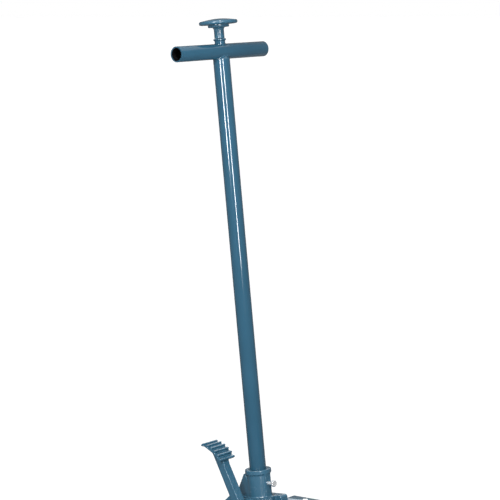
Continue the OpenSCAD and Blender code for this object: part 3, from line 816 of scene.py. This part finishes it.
def build_pivot_nuts():
    """A large nut and washer on each end of the lift arm's pivot shaft."""
    bm = bmesh.new()
    washer_out = PLATE_OUT + 2
    washer = [(12.1, PLATE_OUT), (21, PLATE_OUT), (21, washer_out), (12.1, washer_out)]
    for side in (-1, 1):
        place = outward(*ahead_and_up(PIVOT), side)
        add_lathe(bm, place, softened(washer, 0.5), 64)
        add_hexagon(bm, place, washer_out, washer_out + 10, 32.8, 12.1)
    new_piece("pivot_nut_skins", mesh_from_bmesh(bm, "pivot_nut_skins"), "chassis", "zinc_steel",
              ["pivot_nuts"], 25)


def build_rod_studs():
    """The radius rods' rear studs, with a nut outside each plate."""
    bm = bmesh.new()
    x, z = ahead_and_up(PIVOT)
    stud = [(0, 46.5), (9, 46.5), (9, 49), (6, 49), (6, PLATE_OUT + 2), (0, PLATE_OUT + 2)]
    for side in (-1, 1):
        place = outward(x - ROD_BACK, z + ROD_RISE, side)
        add_lathe(bm, place, softened(stud, 0.4), 40)
        add_hexagon(bm, place, PLATE_OUT, PLATE_OUT + 8, 17.2)
    new_piece("rod_stud_skins", mesh_from_bmesh(bm, "rod_stud_skins"), "chassis", "zinc_steel",
              ["rod_studs"], 25)


def build_caster_bolts():
    """Four bolts on each caster plate: the nut on top, the head underneath."""
    bm = bmesh.new()
    shank = [(0, CASTER_TOP - 4), (4, CASTER_TOP - 4), (4, WING_Z + 13), (0, WING_Z + 13)]
    for side in (-1, 1):
        for dx in (-28, 28):
            for dy in (-22, 22):
                spot = from_axle(CASTER_X + dx, side * (CASTER_Y + dy), 0)
                place = place_at(spot, UP, FORWARD)
                add_lathe(bm, place, softened(shank, 0.8), 24)
                add_hexagon(bm, place, WING_Z + 6, WING_Z + 12.5, 12.9)
                under = place_at(spot, -UP, FORWARD)
                add_hexagon(bm, under, -CASTER_TOP, -CASTER_TOP + 5, 12.0)
    new_piece("caster_bolt_skins", mesh_from_bmesh(bm, "caster_bolt_skins"), "chassis", "zinc_steel",
              ["caster_bolts"], 25)


def build_glands():
    """Hexagon glands on the block's rear face, round the two plungers and the valve pin."""
    bm = bmesh.new()
    for y, z, length, flats, bore in ((0, PUMP_Z, 12, 27.6, 8.05),
                                      (PEDAL_Y, QUICK_Z, 12, 22.4, 6.05),
                                      (0, VALVE_Z, 9, 17.2, 4.05)):
        place = place_at(from_axle(BLOCK_X0, y, z), -FORWARD, UP)
        round_r = flats / 2 / math.cos(math.radians(30)) * 0.8
        collar = length * 0.4
        outline = [(bore, 0), (round_r, 0), (round_r, collar), (bore, collar)]
        add_lathe(bm, place, softened(outline, 0.3), 48)
        add_hexagon(bm, place, collar, length, flats, bore)
    mesh = mesh_from_bmesh(bm, "gland_skins")
    new_piece("gland_skins", mesh, "chassis", "zinc_steel", ["pump_glands"], 25)


def build_cover_screws():
    """Round heads with a cross recess, on the sloping cover."""
    bm = bmesh.new()
    slope = math.tan(math.radians(3.3))
    for x in (BLOCK_X0 + 14, BLOCK_X1 - 8):
        rise = (x - COVER_BEND_X) * slope
        for y in (-56, 56):
            place = place_at(from_axle(x, y, COVER_BEND_Z + rise), UP, FORWARD)
            dome = [(0, -17), (2.9, -17), (2.9, 0), (6.4, 0), (6.4, 0.8), (6.0, 1.8), (4.9, 2.8),
                    (3.2, 3.35), (1.9, 3.48), (1.7, 1.9), (0, 1.6)]

            def cross(angle, radius, height):
                if height < 1.5 or radius > 2.2:
                    return radius
                return radius * (0.62 + 0.38 * abs(math.cos(2 * angle)) ** 0.5)

            add_lathe(bm, place, dome, 48, cross)
    new_piece("cover_screw_skins", mesh_from_bmesh(bm, "cover_screw_skins"), "chassis", "zinc_steel",
              ["cover_screws"], 35)


def build_filler_plug():
    """A push-in plug with a grooved rim, under the hole in the cover."""
    bm = bmesh.new()
    place = place_at(from_axle(BLOCK_X1 - 20, 24, BLOCK_TOP), UP, FORWARD)

    def grip(angle, radius, height):
        if radius < 8.2:
            return radius
        return radius - 0.5 * (0.5 - 0.5 * math.cos(angle * 18)) ** 2

    outline = [(0, -9), (7.3, -9), (7.8, -8.4), (7.8, -0.2), (8.3, 0), (8.5, 0.5), (8.5, 4.8),
               (8.25, 5.6), (7.2, 6), (3.8, 5.8), (3.2, 5.2), (0, 5.1)]
    add_lathe(bm, place, outline, 144, grip)
    new_piece("filler_plug_skin", mesh_from_bmesh(bm, "filler_plug_skin"), NODE_BODY["filler_plug"],
              NODE_SLOT["filler_plug"], ["filler_plug"], 40)


def build_circlips():
    """Open rings with two eared ends, sprung into the axles."""
    front_x, front_z = ahead_and_up(FRONT_AXLE)
    grooves = ((0, AXLE_Z, 79, 81), (front_x, front_z, 123, 125), (front_x, front_z, 78, 80))
    steps = 40
    bm = bmesh.new()
    for side in (-1, 1):
        for x, z, low, high in grooves:
            place = outward(x, z, side)
            outer = []
            inner = []
            for k in range(steps + 1):
                a = math.radians(-70 + 320 * k / steps)
                ear = max(0.0, 1 - min(k, steps - k) / 2.0)
                swell = 12.4 + 1.2 * math.sin(math.pi * k / steps) + 0.4 * ear
                outer.append((swell * math.cos(a), swell * math.sin(a)))
                inner.append((10.05 * math.cos(a), 10.05 * math.sin(a)))
            add_prism(bm, place, outer + inner[::-1], low + 0.2, high - 0.2)
    round_edges(bm, sharp_edges(bm, 50), 0.25, 1)
    new_piece("circlip_skins", mesh_from_bmesh(bm, "circlip_skins"), NODE_BODY["axle_circlips"],
              NODE_SLOT["axle_circlips"], ["axle_circlips"], 35)


# ---------------------------------------------------------------- springs

def node_ends_x(node):
    """Where a CAD node starts and ends ahead of the handle's axle, in mm."""
    low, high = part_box(node)
    return (low.x - AXLE.x) / MM, (high.x - AXLE.x) / MM


def add_spring(node, y, z, radius, wire, turns):
    """A compression spring round a plunger, riding on the chassis."""
    x0, x1 = node_ends_x(node)
    place = place_at(from_axle(0, y, z), FORWARD, UP)
    bm = bmesh.new()
    points = coil_points(place, radius, x0 + wire, x1 - wire, turns)
    add_tube_along(bm, points, [wire] * len(points))
    piece = bare_piece(node + "_coil", mesh_from_bmesh(bm, node + "_coil"), NODE_SLOT[node], 60)
    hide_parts(node)
    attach(piece, "chassis")
    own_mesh(piece)


def build_lift_springs():
    """The two extension springs, each with an end hooked on the block and one on the ram's bar."""
    x0, x1 = node_ends_x("lift_springs")
    for side in (-1, 1):
        place = place_at(from_axle(0, side * SPRING_Y, RAM_Z), FORWARD, UP)
        bm = bmesh.new()
        points = coil_points(place, 5.5, x0 + 3, x1 - 3, 22, closed_ends=False)
        lead = [place @ Vector((0, 0, x0 + 1.1)), place @ Vector((2.6, 0, x0 + 1.6))]
        tail = [place @ Vector((2.6, 0, x1 - 1.6)), place @ Vector((0, 0, x1 - 1.1))]
        line = lead + points + tail
        add_tube_along(bm, line, [0.95] * len(line), 8)
        name = "lift_spring_left" if side > 0 else "lift_spring_right"
        piece = bare_piece(name, mesh_from_bmesh(bm, name), NODE_SLOT["lift_springs"], 60)
        if side < 0:
            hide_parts("lift_springs")
        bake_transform(piece, "chassis", "ram", from_axle(x0, side * SPRING_Y, RAM_Z),
                 from_axle(x1, side * SPRING_Y, RAM_Z))


def build_pedal_spring():
    """The torsion spring round the axle: its coil stays on the chassis, its leg goes with the pedal."""
    low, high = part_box("pedal_spring")
    inset = 1.4
    near_y, far_y = low.y / MM + inset, high.y / MM - inset
    start = math.radians(205)
    bm = bmesh.new()
    coil = coil_points(across(AXLE), 14.5, near_y, far_y, 3.4, start, closed_ends=False)
    tie = from_axle(-34, far_y, 80)
    leg = [tie + Vector(step) * MM for step in ((-4, 0, -10.5), (-10.8, 0, 0), (-4, 0, 10.5))]
    far_end_first = (coil[0] - tie).length > (coil[-1] - tie).length
    line = leg + (coil[::-1] if far_end_first else coil)
    add_tube_along(bm, line, [1.35] * len(line), 8)
    new_piece("pedal_spring_coil", mesh_from_bmesh(bm, "pedal_spring_coil"), "chassis",
              NODE_SLOT["pedal_spring"], ["pedal_spring"], 60)

    place = pedal_place()
    near = near_y - PEDAL_Y
    hook = [(-14.5, -2, near), (-13, 14, near), (-8.4, 34, near), (-6.6, 42, near),
            (-6.3, 44.5, near - 2), (-6.3, 45, near - 5), (-6.3, 45, near - 10)]
    bm = bmesh.new()
    add_tube_along(bm, [place @ Vector(p) for p in hook], [1.35] * len(hook), 8)
    new_piece("pedal_spring_leg", mesh_from_bmesh(bm, "pedal_spring_leg"), "foot_pedal",
              NODE_SLOT["pedal_spring"], (), 60)


def build_springs():
    """The two pump springs, the lift springs and the pedal's spring."""
    add_spring("pump_spring", 0, PUMP_Z, 10.5, 1.45, 4.75)
    add_spring("quick_pump_spring", PEDAL_Y, QUICK_Z, 8.25, 1.2, 7.75)
    build_lift_springs()
    build_pedal_spring()


# ---------------------------------------------------------------- welds on the frame

def build_frame_welds():
    """Beads round the caster brackets, the front cross member and the reservoir."""
    bm = bmesh.new()
    front_x, front_z = ahead_and_up(FRONT_AXLE)
    for side in (-1, 1):
        edge = side * (PLATE_OUT + 1)
        outside = side * (PLATE_OUT + 0.6)
        inside = side * (PLATE_IN - 0.4)
        seams = [((CASTER_X + dx, edge, WING_Z + 7), (CASTER_X + dx, edge, WING_Z + 19.5), 2.0)
                 for dx in (-37, 37)]
        seams += [((CASTER_X - half, outside, z), (CASTER_X + half, outside, z), radius)
                  for half, z, radius in ((30, WING_Z + 6.4, 2.4), (38, WING_Z - 0.4, 2.2))]
        seams += [((front_x + dx, inside, front_z - 16), (front_x + dx, inside, front_z + 18), 2.2)
                  for dx in (4.2, 23.8)]
        for start, end, radius in seams:
            add_weld(bm, [from_axle(*start), from_axle(*end)], radius)
    ring = place_at(from_axle(BLOCK_X1, 0, RAM_Z), FORWARD, UP)
    circle = [Vector((TANK_R * math.cos(a), TANK_R * math.sin(a), 0.3)) for a in full_turn()]
    add_weld(bm, [ring @ point for point in circle if point.x > -32], 2.0)
    new_piece("frame_welds", mesh_from_bmesh(bm, "frame_welds"), "chassis", "blue_paint", (), 60)


def build_arm_welds():
    """Stitched beads along the lift arm's two side bars."""
    bm = bmesh.new()
    drop = math.radians(8)
    stitches = 4
    along = Vector((math.cos(drop), 0, -math.sin(drop)))
    up = Vector((math.sin(drop), 0, math.cos(drop)))
    for side in (-1, 1):
        for lift in (0.2, -5.2):
            web = LEFT * (side * 37.8 * MM)
            a = PIVOT + along * (32 * MM) + up * ((22.2 + lift) * MM) + web
            b = PIVOT + along * (248 * MM) + up * ((17.2 + lift) * MM) + web
            for k in range(stitches):
                add_weld(bm, [a.lerp(b, (k + 0.12) / stitches), a.lerp(b, (k + 0.62) / stitches)], 1.9)
    new_piece("arm_welds", mesh_from_bmesh(bm, "arm_welds"), "lift_arm", "blue_paint", (), 60)


# ---------------------------------------------------------------- the other parts, with their edges rounded

# Width in mm of each node's rounded edges
ROUNDED = {
    "front_cross_member": 1.0, "caster_wings": 0.8, "rear_tie_rod": 0.5, "caster_plates": 0.6,
    "power_unit_block": 2.0, "reservoir": 0.8, "cylinder_end_cap": 1.0, "power_unit_cover": 0.8,
    "handle_axle": 1.0, "axle_spacers": 0.5, "pivot_shaft": 1.2, "front_axle": 1.0, "spring_anchors": 0.5,
    "lift_arm": 0.9, "heel_roller_pin": 0.8, "head_pin": 0.8, "heel_roller": 0.8, "ram": 0.8,
    "radius_rod_right": 0.8, "radius_rod_left": 0.8, "rod_pin": 0.6, "saddle": 1.6, "saddle_pad": 0.9,
    "socket_pins": 0.6, "pump_roller": 0.8, "pump_plunger": 0.6, "handle_tube": 0.3, "t_bar": 0.6,
    "release_rod": 0.5, "release_lever": 0.8, "release_valve_pin": 0.5, "quick_plunger": 0.6,
    "front_wheel_right": 0.9, "front_wheel_left": 0.9, "caster_wheel_right": 0.9, "caster_wheel_left": 0.9,
}


def build_side_plates():
    """Pressed plates: the flanges turn out of the web on a bend."""

    def bend(a, b):
        """True along the long edges inside the web where a flange is turned out."""
        inside = all(abs(abs(end.y) - PLATE_IN * MM) < 1e-4 for end in (a, b))
        middle = ((a + b) / 2 - AXLE) / MM
        long = (a - b).length > 20 * MM
        on_top = middle.x > 246 and middle.z > (246 - middle.x) * 0.34
        underneath = 99 < middle.x < 551 and middle.z < -80
        return inside and long and (on_top or underneath)

    for node in ("side_plate_right", "side_plate_left"):
        rounded_node(node, 0.8, 2, bend, 4.0)


def build_forks():
    """Pressed caster forks, with the larger bend of their crown."""

    def cup(a, b):
        return abs(a.z - b.z) < 1e-5 and min(abs(a.z / MM - 84.7), abs(a.z / MM - 66)) < 0.1

    for node in ("caster_fork_right", "caster_fork_left"):
        rounded_node(node, 0.5, 2, cup, 2.5)


def build_caster_spokes():
    """Spokes in the caster wheels' dished sides."""
    spoke = [(11.5, -1.2), (25.6, -1.2), (25.6, 1.2), (11.5, 1.2)]
    for side_name in ("right", "left"):
        hub = joint_point("caster_%s_roll" % side_name)
        bm = bmesh.new()
        for k in range(6):
            place = across(hub) @ Matrix.Rotation(math.radians(60 * k), 4, "Z")
            for low, high in ((-12.6, -10.8), (10.8, 12.6)):
                add_prism(bm, place, spoke, low, high)
        round_edges(bm, sharp_edges(bm, 50), 0.4, 1)
        new_piece("caster_spokes_" + side_name, mesh_from_bmesh(bm, "caster_spokes"),
                  NODE_BODY["caster_wheel_" + side_name], "nylon", (), 40)


def build_grease_nipples():
    """A nipple in each end of the lift arm's pivot shaft."""
    bm = bmesh.new()
    nipple = [(0, 88), (2.9, 88), (2.9, 91.4), (2.0, 91.8), (1.5, 92.1), (1.6, 92.5),
              (1.1, 92.9), (0, 92.95)]
    for side in (-1, 1):
        place = outward(*ahead_and_up(PIVOT), side)
        add_lathe(bm, place, nipple, 32)
    new_piece("grease_nipples", mesh_from_bmesh(bm, "grease_nipples"), "chassis", "zinc_steel", (), 40)


# ---------------------------------------------------------------- stage

def add_floor():
    """A pale floor that glows a little, so that it stays white under the soft light."""
    bpy.ops.mesh.primitive_plane_add(size=160)
    floor = bpy.context.object
    floor.name = "floor"
    n = Nodes("floor")
    n.set(Base_Color=(0.93, 0.93, 0.93, 1), Roughness=0.9, Specular_IOR_Level=0.1,
          Emission_Color=(1, 1, 1, 1), Emission_Strength=0.26)
    floor.data.materials.append(n.material)
    floor.visible_glossy = False
    floor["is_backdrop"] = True


def add_backdrop():
    """A plain white wall far behind everything, seen by the camera and lighting nothing."""
    bm = bmesh.new()
    place = place_at(Vector((0, 0, 0)), UP, FORWARD)
    wall = [(r / MM, h / MM) for r, h in ((30, -1), (30, 40), (29, 40), (29, -1))]
    add_lathe(bm, place, wall, 96)
    mesh = mesh_from_bmesh(bm, "backdrop")
    backdrop = bpy.data.objects.new("backdrop", mesh)
    bpy.context.scene.collection.objects.link(backdrop)
    n = Nodes("backdrop")
    n.set(Base_Color=(0, 0, 0, 1), Specular_IOR_Level=0,
          Emission_Color=(1, 1, 1, 1), Emission_Strength=1)
    mesh.materials.append(n.material)
    backdrop.visible_diffuse = False
    backdrop.visible_glossy = False
    backdrop.visible_shadow = False
    backdrop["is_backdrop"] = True


def add_area(name, place, toward, size_x, size_y, power):
    """A rectangular light aimed at a point."""
    data = bpy.data.lights.new(name, "AREA")
    data.shape = "RECTANGLE"
    data.size = size_x
    data.size_y = size_y
    data.energy = power
    light = bpy.data.objects.new(name, data)
    bpy.context.scene.collection.objects.link(light)
    light.visible_camera = False
    light.location = place
    light.rotation_euler = (Vector(toward) - Vector(place)).to_track_quat("-Z", "Y").to_euler()
    return light


def around(azimuth, distance, height):
    """A place at an azimuth measured as the camera's is, round the middle of the handle."""
    a = math.radians(azimuth)
    return Vector((AIM.x + math.sin(a) * distance, -math.cos(a) * distance, height))


def light_only(lights, bodies):
    """Limits lights to the pieces on some bodies."""
    lit = bpy.data.collections.new("lit")
    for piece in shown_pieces():
        if set(body_of(piece)) & set(bodies):
            lit.objects.link(piece)
    for light in lights:
        light.light_linking.receiver_collection = lit


def add_sun(name, energy, degrees):
    """An even overhead light spread over so many degrees of sky."""
    data = bpy.data.lights.new(name, "SUN")
    data.energy = energy
    data.angle = math.radians(degrees)
    sun = bpy.data.objects.new(name, data)
    bpy.context.scene.collection.objects.link(sun)
    return sun


def add_lights():
    """Strips draw the long highlights on the handle; the low chassis gets its own even light."""
    target = (AIM.x, 0, 0.9)
    strips = [
        add_area("left_strip", around(CAMERA_AZIMUTH - 23, 3.0, 1.65), target, 0.26, 1.4, 90),
        add_area("front_strip", around(CAMERA_AZIMUTH + 19, 3.0, 1.2), target, 0.2, 1.6, 80),
        add_area("high_front", around(CAMERA_AZIMUTH + 8, 2.4, 3.2), target, 0.3, 0.3, 90),
    ]
    upper = {"handle", "release_knob", "handle_socket", "foot_pedal", "thumb_screw"}
    light_only(strips, upper)
    add_area("soft_front", around(CAMERA_AZIMUTH - 10, 4.5, 3.2), target, 3.0, 2.0, 30)
    back = add_area("soft_back", around(CAMERA_AZIMUTH + 180, 5.0, 3.4), target, 4.0, 2.0, 120)
    light_only([back], set(NODE_BODY.values()) - {"handle", "release_knob"})
    add_sun("overhead", 1.9, 100)
    light_only([add_sun("chassis_light", 4.5, 160)], set(NODE_BODY.values()) - upper)


WORLD_LIGHT = 0.26


def set_world():
    """A dim even surround, so that the paint keeps its depth."""
    world = bpy.data.worlds.new("studio")
    bpy.context.scene.world = world
    world.use_nodes = True
    background = world.node_tree.nodes["Background"]
    background.inputs["Color"].default_value = (1, 1, 1, 1)
    background.inputs["Strength"].default_value = WORLD_LIGHT
    bpy.context.scene.view_settings.view_transform = "Standard"


# ---------------------------------------------------------------- build

add_camera()
for node, width in ROUNDED.items():
    rounded_node(node, width)
build_side_plates()
build_forks()
build_knob()
build_bush()
build_handle_welds()
build_bar_shade_lining()
build_socket()
build_pedal()
build_carrier()
build_thumb_screw()
build_block_bolts()
build_pivot_nuts()
build_rod_studs()
build_caster_bolts()
build_glands()
build_cover_screws()
build_filler_plug()
build_circlips()
build_springs()
build_frame_welds()
build_arm_welds()
build_caster_spokes()
build_grease_nipples()
add_floor()
add_backdrop()
add_lights()
set_world()
